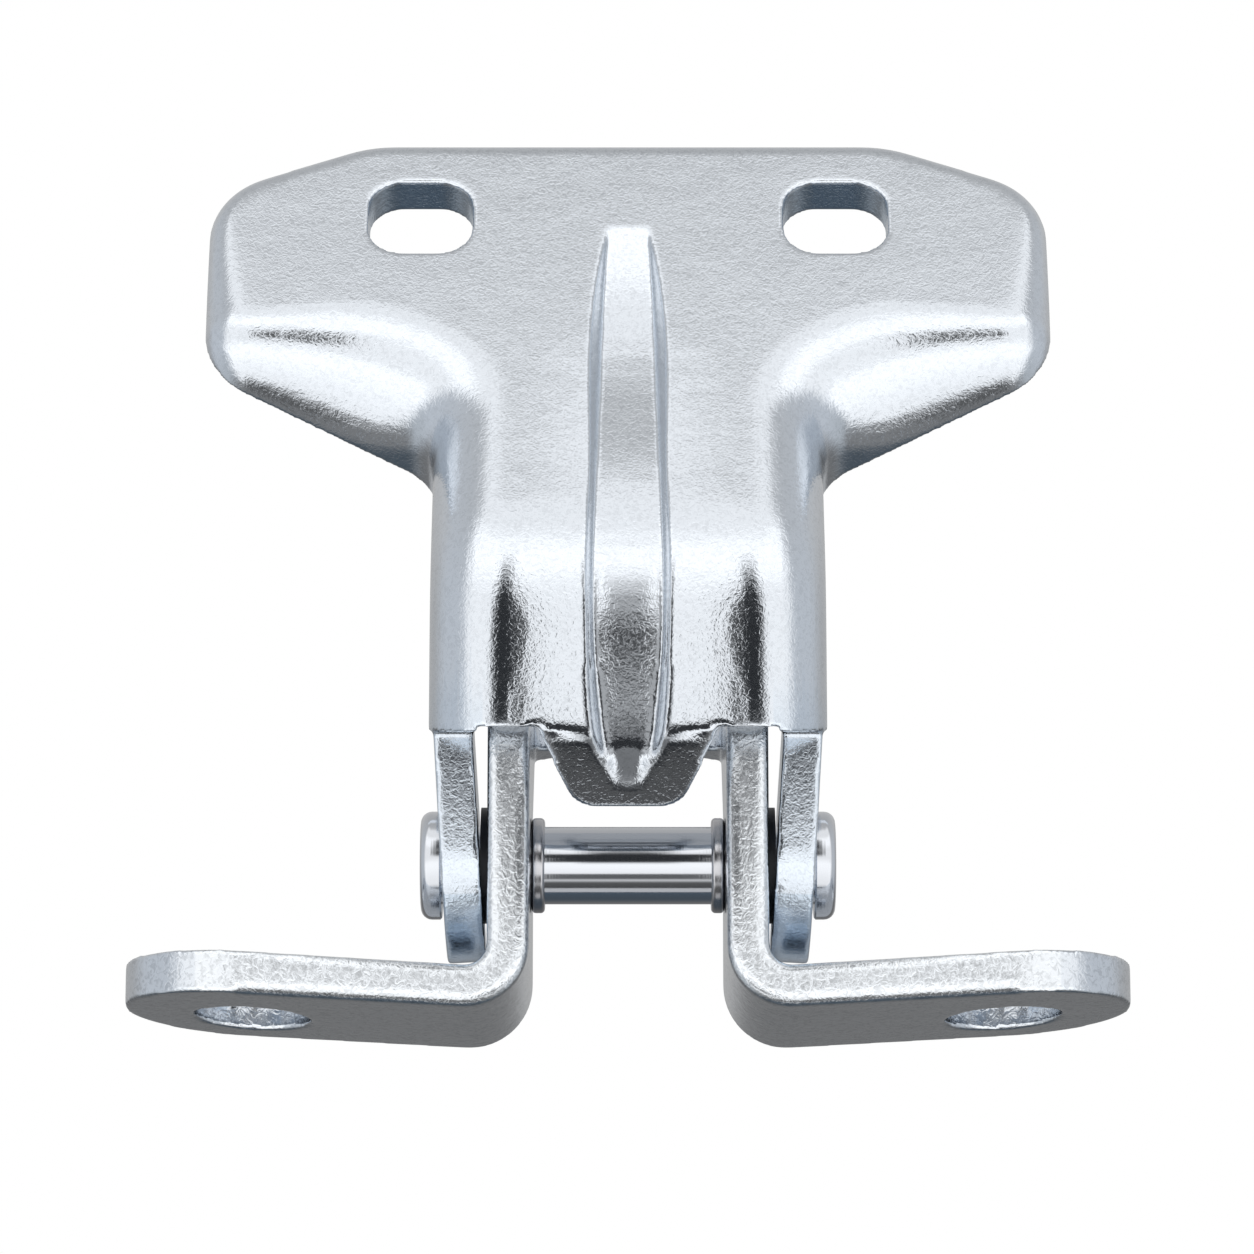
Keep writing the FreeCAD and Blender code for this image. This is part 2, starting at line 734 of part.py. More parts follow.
def arm_side_outline():
    """The arms seen from the side: they clear the channel as the door bracket swings over them."""
    front = -size("foot_front")
    radius = size("arm_top_radius")
    clear = size("web_standoff") - size("door_sheet") - size("swing_gap")
    back = size("cross_wall_back")
    crown = math.sqrt(radius**2 - clear**2)
    shoulder = (
        crown * math.sin(ANGLE) - clear * math.cos(ANGLE),
        crown * math.cos(ANGLE) + clear * math.sin(ANGLE),
    )
    top_back = (back, (clear + math.cos(ANGLE) * back) / math.sin(ANGLE))
    front_top = (front, math.sqrt(radius**2 - front**2))
    middle_angle = (math.atan2(*reversed(front_top)) + math.atan2(*reversed(shoulder))) / 2
    middle = (radius * math.cos(middle_angle), radius * math.sin(middle_angle))
    foot_rear = size("foot_depth") - size("foot_front")
    rear = size("arm_rear")
    under = size("cross_wall_under")
    low = -2 * size("pin_height")
    up = [front_top, middle, shoulder]
    arc = Part.Arc(*[Vector(0, *p) for p in up]).toShape()
    places = [shoulder, top_back, (back, under), (rear, size("arm_waist"))]
    places += [(rear, -size("arm_waist")), (foot_rear, -size("ear_radius")), (foot_rear, low)]
    places += [(front, low), front_top]
    polygon = Part.makePolygon([Vector(0, *p) for p in places])
    slab = Part.Face(Part.Wire([arc] + polygon.Edges)).extrude(Vector(4 * size("arm_inside"), 0, 0))
    slab.translate(Vector(-2 * size("arm_inside"), 0, 0))
    return slab


def wall_window():
    """The arched opening under the cross wall."""
    half = size("arm_inside")
    side = size("cross_wall_under")
    crown = side + size("cross_wall_arch")
    low = -2 * size("pin_height")
    arch = Part.Arc(Vector(-half, 0, side), Vector(0, 0, crown), Vector(half, 0, side)).toShape()
    corners = ((half, side), (half, low), (-half, low), (-half, side))
    legs = Part.makePolygon([Vector(x, 0, z) for x, z in corners])
    return Part.Face(Part.Wire([arch] + legs.Edges)).extrude(Vector(0, 2 * size("cross_wall_back"), 0))


def wall_notch():
    """The dip in the cross wall's top edge, which lets the back of the groove pass when closed."""
    half = size("cross_wall_notch_half")
    reach = 2 * size("cross_wall_back")
    pressed = size("valley_depth") + size("groove_depth")
    out = size("web_standoff") - size("door_sheet") - pressed - size("cross_wall_notch_gap")
    corner = size("cross_wall_notch_corner")
    points = [(-half, out), (half, out), (half, reach), (-half, reach)]
    wire = rounded_wire([(x, 0, z) for x, z in points], [corner, corner, 0, 0])
    prism = Part.Face(wire).extrude(Vector(0, reach, 0))
    return turned_closed(prism)


def turned_closed(shape):
    """A shape drawn with the web's inner face level, turned to where that face comes when closed."""
    shape.Placement = Placement(Vector(0, 0, 0), Rotation(Vector(1, 0, 0), 90 - size("open_angle")))
    return shape


def body_bracket():
    """The body side: two feet, two arms and a cross wall, all one bent and pierced strap."""
    arms = arms_and_wall().common(arm_side_outline())
    foot = foot_strap().common(foot_plan())
    bush = size("pin_across") / 2 + size("bush_running_gap") + size("bush_wall")
    shape = arms.fuse(both_sides(foot))
    tools = [wall_window(), wall_notch()]
    tools.append(x_cylinder(bush, -foot_reach(), foot_reach()))
    for side in (-1, 1):
        centre = Vector(side * size("foot_hole_spacing") / 2, size("pin_ahead"), -2 * size("pin_height"))
        tools.append(Part.makeCylinder(size("foot_hole_across") / 2, 2 * size("pin_height"), centre))
    return shape.cut(tools).removeSplitter().Solids[0]


def place_formed(label, shape):
    """A formed bracket as an object of the document, moved from the pin's axis to its place."""
    piece = doc.addObject("Part::Feature", label)
    piece.Label = label
    piece.Shape = shape
    piece.Placement = PIN_PLACE
    return piece


def turned_body(label, profile, edge_size=None, rims=()):
    """A turned piece: a closed profile of (along, radius) expressions, spun about the pin's axis.
    Its outer rims, named by their distance along and radius, are bevelled by edge_size."""
    body = doc.addObject("PartDesign::Body", label)
    body.Label = label
    plane = next(f for f in body.Origin.OriginFeatures if f.Role == "XZ_Plane")
    axis = next(f for f in body.Origin.OriginFeatures if f.Role == "X_Axis")
    sketch = body.newObject("Sketcher::SketchObject", label + "_profile")
    sketch.AttachmentSupport = [(plane, "")]
    sketch.MapMode = "FlatFace"
    count = len(profile)
    rough = [
        Vector(-math.cos(2 * math.pi * i / count), 2 + math.sin(2 * math.pi * i / count), 0)
        for i in range(count)
    ]
    for i in range(count):
        sketch.addGeometry(Part.LineSegment(rough[i], rough[(i + 1) % count]))
    for i, (along, radius) in enumerate(profile):
        sketch.addConstraint(Sketcher.Constraint("Coincident", i, 2, (i + 1) % count, 1))
        for kind, words, value in (("DistanceX", along, rough[i].x), ("DistanceY", radius, rough[i].y)):
            number = sketch.addConstraint(Sketcher.Constraint(kind, -1, 1, i, 1, value))
            sketch.setExpression(f"Constraints[{number}]", words)
    turn = body.newObject("PartDesign::Revolution", label + "_turned")
    turn.Profile = sketch
    turn.ReferenceAxis = (axis, [""])
    turn.Angle = 360
    body.Tip = turn
    doc.recompute()
    if edge_size:
        names = []
        for number, edge in enumerate(turn.Shape.Edges, 1):
            if not isinstance(edge.Curve, Part.Circle):
                continue
            for along, radius in rims:
                at_rim = abs(edge.Curve.Center.x - along) < 1e-4
                if at_rim and abs(edge.Curve.Radius - radius) < 1e-4:
                    names.append(f"Edge{number}")
        eased = body.newObject("PartDesign::Chamfer", label + "_eased")
        eased.Base = (turn, names)
        eased.setExpression("Size", edge_size)
        body.Tip = eased
        doc.recompute()
    body.Placement = PIN_PLACE
    return body


def hinge_pin():
    """The pin: a plain shank pressed through both ears, with a bevelled head formed at each end."""
    ear_out = "(sizes.ear_inside + sizes.ear_sheet)"
    end = f"({ear_out} + sizes.head_thick)"
    head = "(sizes.head_across / 2)"
    shank = "(sizes.pin_across / 2)"
    profile = [(f"-{end}", "0"), (f"-{end}", head), (f"-{ear_out}", head), (f"-{ear_out}", shank)]
    profile += [(ear_out, shank), (ear_out, head), (end, head), (end, "0")]
    reach = size("ear_inside") + size("ear_sheet") + size("head_thick")
    rims = [(side * reach, size("head_across") / 2) for side in (-1, 1)]
    return turned_body("hinge_pin", profile, "sizes.head_edge", rims)


def bush(label, side):
    """A flanged bush pressed into an arm from outside. Its flange keeps the ear off the arm."""
    inner = "(sizes.pin_across / 2 + sizes.bush_running_gap)"
    outer = f"({inner} + sizes.bush_wall)"
    flange = "(sizes.bush_flange_across / 2)"
    start = f"{side} * sizes.arm_inside"
    arm_out = f"{side} * (sizes.arm_inside + sizes.body_sheet)"
    end = f"{side} * (sizes.ear_inside - sizes.side_gap)"
    profile = [(start, inner), (start, outer), (arm_out, outer), (arm_out, flange)]
    profile += [(end, flange), (end, inner)]
    return turned_body(label, profile)


def collar(label, side):
    """A collar staked on the pin against the inside of an arm, its free rim bevelled."""
    bore = "(sizes.pin_across / 2)"
    outer = "(sizes.collar_across / 2)"
    far = f"{side} * (sizes.arm_inside - sizes.side_gap)"
    near = f"{side} * (sizes.arm_inside - sizes.side_gap - sizes.collar_width)"
    profile = [(near, bore), (near, outer), (far, outer), (far, bore)]
    free_end = size("arm_inside") - size("side_gap") - size("collar_width")
    rims = [(side * free_end, size("collar_across") / 2)]
    return turned_body(label, profile, "sizes.collar_edge", rims)


pieces = [
    place_formed("door_bracket", door_bracket()),
    place_formed("body_bracket", body_bracket()),
    hinge_pin(),
    bush("left_bush", -1),
    bush("right_bush", 1),
    collar("left_collar", -1),
    collar("right_collar", 1),
]
doc.recompute()

for item in doc.Objects:
    if {"Invalid", "Error"} & set(item.State):
        raise RuntimeError(f"{item.Label} did not build: {item.State}")
os.makedirs("parts", exist_ok=True)
for piece in pieces:
    shape = piece.Shape
    if shape.isNull() or not shape.isValid():
        raise RuntimeError(f"{piece.Label} has no valid shape")
    print(piece.Label, len(shape.Solids), "solid,", round(shape.Volume, 1), "mm3")
for piece in pieces:
    piece.Shape.exportStep(f"parts/{piece.Label}.step")
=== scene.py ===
import json
import math

import bmesh
import bpy
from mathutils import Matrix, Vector


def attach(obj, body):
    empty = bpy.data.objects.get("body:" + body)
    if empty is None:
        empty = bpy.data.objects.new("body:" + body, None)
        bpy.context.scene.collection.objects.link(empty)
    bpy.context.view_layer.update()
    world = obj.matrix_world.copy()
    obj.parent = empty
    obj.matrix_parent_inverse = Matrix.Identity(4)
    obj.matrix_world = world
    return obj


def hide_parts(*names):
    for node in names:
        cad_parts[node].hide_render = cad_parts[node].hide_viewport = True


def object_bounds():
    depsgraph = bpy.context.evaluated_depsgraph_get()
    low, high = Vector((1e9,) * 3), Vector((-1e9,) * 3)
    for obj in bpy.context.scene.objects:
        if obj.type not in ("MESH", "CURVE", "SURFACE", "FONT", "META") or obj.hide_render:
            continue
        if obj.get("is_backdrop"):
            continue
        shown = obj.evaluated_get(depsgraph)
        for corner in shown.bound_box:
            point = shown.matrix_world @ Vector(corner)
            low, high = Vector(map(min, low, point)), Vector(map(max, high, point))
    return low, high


# A car door hinge of zinc plated steel, standing open, seen a little from below as in the photograph.
# The scene is built in metres about the middle of the two foot bolts.
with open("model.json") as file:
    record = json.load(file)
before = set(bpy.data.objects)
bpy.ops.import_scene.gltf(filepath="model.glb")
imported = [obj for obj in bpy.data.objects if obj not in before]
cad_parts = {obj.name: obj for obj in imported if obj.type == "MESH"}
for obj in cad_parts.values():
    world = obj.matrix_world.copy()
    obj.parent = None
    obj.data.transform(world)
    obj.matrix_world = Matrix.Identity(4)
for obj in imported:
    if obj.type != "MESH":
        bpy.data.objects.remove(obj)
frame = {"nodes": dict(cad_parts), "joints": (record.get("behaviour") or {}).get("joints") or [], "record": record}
cad_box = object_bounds()

# Camera: in front of the hinge and below it, looking up by 14.4 degrees through a long lens. The view is
# shifted by one pixel of the photograph.
CAMERA_PLACE = (0.0, -0.6884, -0.129783)
CAMERA_LIFT = math.radians(14.4)
FOCAL_LENGTH = 172.8
PHOTO_WIDTH = 1254

camera_data = bpy.data.cameras.new("camera")
camera_data.sensor_width = 36
camera_data.lens = FOCAL_LENGTH
camera_data.shift_x = -1 / PHOTO_WIDTH
camera_data.clip_start = 0.01
camera = bpy.data.objects.new("camera", camera_data)
camera.location = CAMERA_PLACE
camera.rotation_euler = (math.pi / 2 + CAMERA_LIFT, 0, 0)
bpy.context.scene.collection.objects.link(camera)
bpy.context.scene.camera = camera
bpy.context.scene.view_settings.view_transform = "Standard"


# Studio: a room whose walls are its light. The camera sees them as plain white, and the metal reflects
# bright walls in front of it, greyer ones at the sides and dark ones behind and below, with a dark gap
# straight ahead.
def add_node(tree, kind, inputs=None, **settings):
    """A node with its settings. An input is a value, or another node's output socket to link."""
    node = tree.nodes.new(kind)
    for name, value in settings.items():
        setattr(node, name, value)
    for name, value in (inputs or {}).items():
        if isinstance(value, bpy.types.NodeSocket):
            tree.links.new(value, node.inputs[name])
        else:
            node.inputs[name].default_value = value
    return node


def linked_value(tree, operation, *values):
    """A Math node on sockets or numbers, as its output socket."""
    return add_node(tree, "ShaderNodeMath", dict(enumerate(values)), operation=operation).outputs[0]


def soft_step(tree, value, start, end):
    """Rises smoothly from nought at start to one at end."""
    inputs = {"Value": value, "From Min": start, "From Max": end}
    return add_node(tree, "ShaderNodeMapRange", inputs, interpolation_type="SMOOTHSTEP").outputs[0]


def blend(tree, share, first, second):
    """Two colours mixed by a share."""
    mix = tree.nodes.new("ShaderNodeMix")
    mix.data_type = "RGBA"
    for socket, source in (("Factor_Float", share), ("A_Color", first), ("B_Color", second)):
        entry = next(item for item in mix.inputs if item.identifier == socket)
        if isinstance(source, bpy.types.NodeSocket):
            tree.links.new(source, entry)
        else:
            entry.default_value = source
    return next(item for item in mix.outputs if item.identifier == "Result_Color")


def lift_ramp(tree, lift, marks):
    """Light that follows the height above the horizon: marks are (degrees, brightness or colour)."""
    down_to_up = {"Value": lift, "From Min": -90.0, "From Max": 90.0}
    share = add_node(tree, "ShaderNodeMapRange", down_to_up).outputs[0]
    ramp = add_node(tree, "ShaderNodeValToRGB", {0: share})
    ramp.color_ramp.interpolation = "EASE"
    stops = ramp.color_ramp.elements
    while len(stops) < len(marks):
        stops.new(0.5)
    for stop, (degrees, glow) in zip(stops, marks):
        stop.position = (degrees + 90) / 180
        stop.color = (*glow, 1) if isinstance(glow, tuple) else (glow, glow, glow, 1)
    return ramp.outputs[0]


# All angles of the room are in degrees: up from the horizon, or aside from straight ahead of the hinge.
FRONT_LIGHT = [
    (-90, 0.07),
    (-66, 0.12),
    (-50, 1.20),
    (-8, 1.42),
    (6, 1.16),
    (22, 1.16),
    (34, 1.42),
    (44, 1.40),
    (54, 1.10),
    (65, 1.13),
    (76, 0.60),
    (90, 0.52),
]
SIDE_LIGHT = [
    (-90, 0.07),
    (-60, 0.25),
    (-30, (0.55, 0.58, 0.61)),
    (0, (0.64, 0.67, 0.71)),
    (90, 0.55),
]
BACK_LIGHT = [
    (-90, (0.09, 0.12, 0.155)),
    (-50, (0.08, 0.10, 0.12)),
    (-20, 0.17),
    (-6, 0.20),
    (8, 0.45),
    (30, 0.60),
    (90, 0.52),
]
FRONT_END, SIDE_START = 56.0, 78.0
SIDE_END, BACK_START = 100.0, 140.0
GAP_HALF = 7.0
GAP_LOW, GAP_TOP = 9.0, 21.0
GAP_EDGE = 4.0
GAP_TAPER = 0.45
GAP_COLOUR = (0.10, 0.10, 0.10, 1)

world = bpy.data.worlds.new("studio")
world.use_nodes = True
world_tree = world.node_tree
world_tree.nodes.clear()
toward = add_node(world_tree, "ShaderNodeTexCoord").outputs["Generated"]
direction = add_node(world_tree, "ShaderNodeSeparateXYZ", {0: toward})
to_degrees = math.degrees(1)
steepness = linked_value(world_tree, "ARCSINE", direction.outputs["Z"])
lift = linked_value(world_tree, "MULTIPLY", steepness, to_degrees)
ahead = linked_value(world_tree, "MULTIPLY", direction.outputs["Y"], -1.0)
around = linked_value(world_tree, "ARCTAN2", direction.outputs["X"], ahead)
aside = linked_value(world_tree, "MULTIPLY", linked_value(world_tree, "ABSOLUTE", around), to_degrees)

# The gap has soft edges, and from the middle of its height upwards it narrows.
past_middle = linked_value(world_tree, "SUBTRACT", lift, (GAP_LOW + GAP_TOP) / 2)
climb = linked_value(world_tree, "MAXIMUM", past_middle, 0.0)
narrowed = linked_value(world_tree, "MULTIPLY_ADD", climb, GAP_TAPER, aside)
gap_across = soft_step(world_tree, narrowed, GAP_HALF + GAP_EDGE, GAP_HALF - GAP_EDGE)
over_low = soft_step(world_tree, lift, GAP_LOW - GAP_EDGE, GAP_LOW + GAP_EDGE)
under_top = soft_step(world_tree, lift, GAP_TOP + GAP_EDGE, GAP_TOP - GAP_EDGE)
gap_up = linked_value(world_tree, "MULTIPLY", over_low, under_top)
gap = linked_value(world_tree, "MULTIPLY", gap_across, gap_up)

front, side, back = [lift_ramp(world_tree, lift, marks) for marks in (FRONT_LIGHT, SIDE_LIGHT, BACK_LIGHT)]
room_colour = blend(world_tree, soft_step(world_tree, aside, FRONT_END, SIDE_START), front, side)
room_colour = blend(world_tree, soft_step(world_tree, aside, SIDE_END, BACK_START), room_colour, back)
room_colour = blend(world_tree, gap, room_colour, GAP_COLOUR)
seen = add_node(world_tree, "ShaderNodeLightPath").outputs["Is Camera Ray"]
walls = add_node(world_tree, "ShaderNodeBackground", {"Color": room_colour, "Strength": 1.0})
white = add_node(world_tree, "ShaderNodeBackground", {"Color": (1, 1, 1, 1), "Strength": 1.0})
room = add_node(world_tree, "ShaderNodeMixShader", {0: seen, 1: walls.outputs[0], 2: white.outputs[0]})
add_node(world_tree, "ShaderNodeOutputWorld", {"Surface": room.outputs[0]})
bpy.context.scene.world = world


# Floor: a small pale matt sheet well below the hinge.
def linear(hex_colour):
    """An sRGB hex colour as linear RGBA."""
    values = [int(hex_colour[i:i + 2], 16) / 255 for i in (1, 3, 5)]
    bent = [v / 12.92 if v <= 0.04045 else ((v + 0.055) / 1.055) ** 2.4 for v in values]
    return (*bent, 1.0)


def new_material(name):
    """An empty node material and its tree."""
    material = bpy.data.materials.new(name)
    material.use_nodes = True
    material.node_tree.nodes.clear()
    return material, material.node_tree


FLOOR_LEVEL = -0.6
FLOOR_REACH = 0.08
floor_form = bmesh.new()
bmesh.ops.create_grid(floor_form, x_segments=1, y_segments=1, size=FLOOR_REACH)
bmesh.ops.translate(floor_form, verts=floor_form.verts, vec=(0, 0, FLOOR_LEVEL))
floor_mesh = bpy.data.meshes.new("floor")
floor_form.to_mesh(floor_mesh)
floor_form.free()
floor = bpy.data.objects.new("floor", floor_mesh)
bpy.context.scene.collection.objects.link(floor)
floor_paint, tree = new_material("pale_floor")
matt = add_node(tree, "ShaderNodeBsdfPrincipled", {"Base Color": linear("#e9e9ea"), "Roughness": 0.9})
add_node(tree, "ShaderNodeOutputMaterial", {"Surface": matt.outputs[0]})
floor_mesh.materials.append(floor_paint)
floor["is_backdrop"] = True


# Flags: small dark cards close to the hinge that the camera doesn't see. One stands before each hump of
# the channel, the groove, its end and the pin, and one lies below the tongue: each gives its dark
# reflection. A flag covers evenly in its core and fades to nothing at its rim.
def oblong(half, low, high):
    """An outline in millimetres, even about the middle plane."""
    return [(-half, low), (half, low), (half, high), (-half, high)]


def upright(outline, y):
    """The corners of a card that stands at y, from its outline in x and z, all in millimetres."""
    return [Vector((x / 1000, y / 1000, z / 1000)) for x, z in outline]


def lying(outline, z):
    """The corners of a card that lies at z, from its outline in x and y, all in millimetres."""
    return [Vector((x / 1000, y / 1000, z / 1000)) for x, y in outline]


RIGHT_HUMP = [(9.5, 22), (31, 22), (29, 51), (19, 71), (13, 71), (10.5, 51)]
LEFT_HUMP = [(-x, z) for x, z in RIGHT_HUMP]
FAR_FLAG_Y = -45
GROOVE_FLAG_Y = -26.2
GROOVE_END_FLAG_Y = -24
TONGUE_FLAG_Z = -20
# Each flag has its corners, the share of its size that its core takes, and the core's cover.
FLAGS = {
    "left_hump_flag": (upright(LEFT_HUMP, FAR_FLAG_Y), 0.45, 1.0),
    "right_hump_flag": (upright(RIGHT_HUMP, FAR_FLAG_Y), 0.45, 1.0),
    "groove_flag": (upright(oblong(3, 24, 56), GROOVE_FLAG_Y), 0.6, 0.6),
    "groove_end_flag": (upright(oblong(6.5, 14, 29), GROOVE_END_FLAG_Y), 0.5, 0.85),
    "pin_flag": (upright(oblong(13.5, 14, 34), FAR_FLAG_Y), 0.7, 1.0),
    "tongue_flag": (lying(oblong(16, -58, -30), TONGUE_FLAG_Z), 0.6, 0.9),
}
flag_paint, tree = new_material("dark_flag")
flag_cover = add_node(tree, "ShaderNodeAttribute", attribute_name="cover").outputs["Fac"]
flag_glow = add_node(tree, "ShaderNodeEmission", {"Color": linear("#292b2e"), "Strength": 1.0})
flag_clear = add_node(tree, "ShaderNodeBsdfTransparent")
flag_layers = {0: flag_cover, 1: flag_clear.outputs[0], 2: flag_glow.outputs[0]}
flag_mix = add_node(tree, "ShaderNodeMixShader", flag_layers)
add_node(tree, "ShaderNodeOutputMaterial", {"Surface": flag_mix.outputs[0]})
for flag_name, (corners, core_share, core_cover) in FLAGS.items():
    middle = sum(corners, Vector()) / len(corners)
    flag_form = bmesh.new()
    rim = [flag_form.verts.new(corner) for corner in corners]
    core = [flag_form.verts.new(middle.lerp(corner, core_share)) for corner in corners]
    flag_form.faces.new(core)
    for i in range(len(rim)):
        flag_form.faces.new((rim[i - 1], rim[i], core[i], core[i - 1]))
    flag_mesh = bpy.data.meshes.new(flag_name)
    flag_form.to_mesh(flag_mesh)
    flag_form.free()
    cover = flag_mesh.attributes.new("cover", "FLOAT", "POINT")
    for number, mark in enumerate(cover.data):
        mark.value = 0.0 if number < len(corners) else core_cover
    flag = bpy.data.objects.new(flag_name, flag_mesh)
    flag.visible_camera = False
    flag.visible_shadow = False
    flag_mesh.materials.append(flag_paint)
    bpy.context.scene.collection.objects.link(flag)
    flag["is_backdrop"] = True

# Door bracket: one stamping of 5 mm steel sheet, drawn into a plate with rolled wings, a channel and a
# pressed groove, then zinc plated and passivated. The press leaves every edge soft, and the plating
# follows the fine orange peel of the drawn sheet.
SWELL_MM = 5.0
SWELL_HEIGHT_MM = 0.05
CUT_DEEPER = 0.8
CUT_ROUGHER = 0.12
# Painted shade in the hollows of the orange peel: full where the peel is lower than the first value, none above
# the second.
PEEL_SHADE_FULL, PEEL_SHADE_NONE = 0.32, 0.55


def zinc_plate(name, grain_mm, grain_height_mm, roughness, peel_shade_share, cut_colour):
    """Bright zinc over pressed steel: a pale, slightly blue metal with an orange peel in its gloss, whose hollows
    are darkened with painted shade. Where the steel was sheared, the surface is rougher and coarser."""
    material, tree = new_material(name)
    place = add_node(tree, "ShaderNodeTexCoord").outputs["Object"]
    cut = add_node(tree, "ShaderNodeAttribute", attribute_name="cut").outputs["Fac"]
    peel = add_node(
        tree,
        "ShaderNodeTexNoise",
        {"Vector": place, "Scale": 1000 / grain_mm, "Detail": 1.5, "Roughness": 0.5, "Distortion": 1.2},
    )
    grain_height = grain_height_mm / 1000
    peel_height = linked_value(tree, "MULTIPLY_ADD", cut, CUT_DEEPER * grain_height, grain_height)
    peel_bump = add_node(
        tree,
        "ShaderNodeBump",
        {"Height": peel.outputs[0], "Distance": peel_height, "Strength": 1.0},
    )
    swell = add_node(tree, "ShaderNodeTexNoise", {"Vector": place, "Scale": 1000 / SWELL_MM, "Detail": 2.0})
    swell_bump = add_node(
        tree,
        "ShaderNodeBump",
        {
            "Height": swell.outputs[0],
            "Distance": SWELL_HEIGHT_MM / 1000,
            "Strength": 1.0,
            "Normal": peel_bump.outputs[0],
        },
    )
    gloss = linked_value(tree, "MULTIPLY_ADD", cut, CUT_ROUGHER, roughness)
    skin_colour = blend(tree, cut, linear("#dce1e7"), linear(cut_colour))
    # Painted shade: where the peel is low, the colour darkens towards black, by the bracket's share of peel shade.
    above_peel_shade = soft_step(tree, peel.outputs[0], PEEL_SHADE_FULL, PEEL_SHADE_NONE)
    peel_shaded_colour = blend(tree, above_peel_shade, (0, 0, 0, 1), skin_colour)
    colour = blend(tree, 1 - peel_shade_share, peel_shaded_colour, skin_colour)
    metal = add_node(
        tree,
        "ShaderNodeBsdfPrincipled",
        {"Base Color": colour, "Metallic": 1.0, "Roughness": gloss, "Normal": swell_bump.outputs[0]},
    )
    add_node(tree, "ShaderNodeOutputMaterial", {"Surface": metal.outputs[0]})
    return material


MESH_GRAIN = 0.00028
SMOOTH_PULL = 0.5
SOFT_ZONE_ROUNDS = 45
MOST_TRIANGLES = 180000
SAME_POINT = 1e-6
FLAT_ANGLE = math.radians(0.5)
SOFT_BEVEL = {"affect": "EDGES", "segments": 4, "profile": 0.5, "material": -1}


def add_smoothing(piece, name, rounds):
    """A modifier that draws each vertex towards its neighbours, round after round."""
    smoothing = piece.modifiers.new(name, "SMOOTH")
    smoothing.factor = SMOOTH_PULL
    smoothing.iterations = rounds
    return smoothing


def bake_modifiers(piece):
    """Applies a piece's modifiers to its mesh."""
    bpy.context.view_layer.update()
    ready = piece.evaluated_get(bpy.context.evaluated_depsgraph_get())
    finished = bpy.data.meshes.new_from_object(ready)
    piece.modifiers.clear()
    piece.data = finished


def pressed_copy(node, rounds, is_soft_edge=None, edge_radius=0.0, is_soft_place=None):
    """A copy of a packed bracket with its facets and edges smoothed, as the press and plating leave them.
    Soft edges are rounded first, and vertices in soft places are smoothed further."""
    name = node + "_skin"
    form = bmesh.new()
    form.from_mesh(frame["nodes"][node].data)
    bmesh.ops.remove_doubles(form, verts=form.verts, dist=SAME_POINT)
    if is_soft_edge:
        bmesh.ops.dissolve_limit(form, angle_limit=FLAT_ANGLE, verts=form.verts, edges=form.edges)
        rims = [edge for edge in form.edges if is_soft_edge(edge)]
        bmesh.ops.bevel(form, geom=rims, offset=edge_radius, **SOFT_BEVEL)
        bmesh.ops.triangulate(form, faces=form.faces)
    mesh = bpy.data.meshes.new(name)
    form.to_mesh(mesh)
    form.free()
    piece = bpy.data.objects.new(name, mesh)
    bpy.context.scene.collection.objects.link(piece)
    remesh = piece.modifiers.new("even_grain", "REMESH")
    remesh.mode = "VOXEL"
    remesh.voxel_size = MESH_GRAIN
    add_smoothing(piece, "soft_edges", rounds)
    bake_modifiers(piece)
    if is_soft_place:
        zone = piece.vertex_groups.new(name="soft_zone")
        zone.add([vertex.index for vertex in piece.data.vertices if is_soft_place(vertex.co)], 1.0, "ADD")
        add_smoothing(piece, "soft_zone", SOFT_ZONE_ROUNDS).vertex_group = zone.name
    thin = piece.modifiers.new("fewer_faces", "DECIMATE")
    thin.ratio = min(1.0, MOST_TRIANGLES / (2 * len(piece.data.polygons)))
    bake_modifiers(piece)
    piece.vertex_groups.clear()
    piece.data.name = name
    for face in piece.data.polygons:
        face.use_smooth = True
    return piece


def mark_cut_edges(piece, cut_share):
    """Marks the sheared faces of a bracket, which are rougher than its rolled skin."""
    marks = piece.data.attributes.new("cut", "FLOAT", "POINT")
    for vertex, mark in zip(piece.data.vertices, marks.data):
        mark.value = float(cut_share(vertex.co))


# The plate's face, from the record's mount, and the bounds in metres of the stretches of the sheet that
# are softest or sheared.
door_face = next(mount for mount in frame["record"]["mounts"] if mount["name"] == "door_face")
PLATE_TILT = Vector(door_face["axis"])
PLATE_FACE = Vector(door_face["pos_m"]).dot(PLATE_TILT)
LIP_HALF = 0.0118
LIP_LOW, LIP_TOP = 0.0262, 0.0372
LIP_BACK = -0.009
GROOVE_END_HALF = 0.0045
GROOVE_END_LOW, GROOVE_END_TOP = 0.0235, 0.0300
WING_START = 0.041
WING_RIM_DEPTH = 0.0026
EAR_INSIDE = 0.0165
EAR_TOP, EAR_FOOT = 0.0345, 0.012
EAR_TOP_SHARE = 0.4
SLOT_MIDDLE = 0.025
SLOT_REACH = 0.0072
SLOT_LOW, SLOT_TOP = 0.0880, 0.1090
SLOT_LIP = 0.0006


def in_soft_zone(place):
    """Where the drawn sheet bends most softly: the front of the tongue and of the channel's lower lip,
    where the groove runs out, and the front of the wings' outer rims."""
    across = abs(place.x)
    in_lip = across < LIP_HALF and LIP_LOW < place.z < LIP_TOP and place.y < LIP_BACK
    in_groove_end = across < GROOVE_END_HALF and GROOVE_END_LOW < place.z < GROOVE_END_TOP
    in_rim = across > WING_START and place.dot(PLATE_TILT) > PLATE_FACE - WING_RIM_DEPTH
    return in_lip or in_groove_end or in_rim


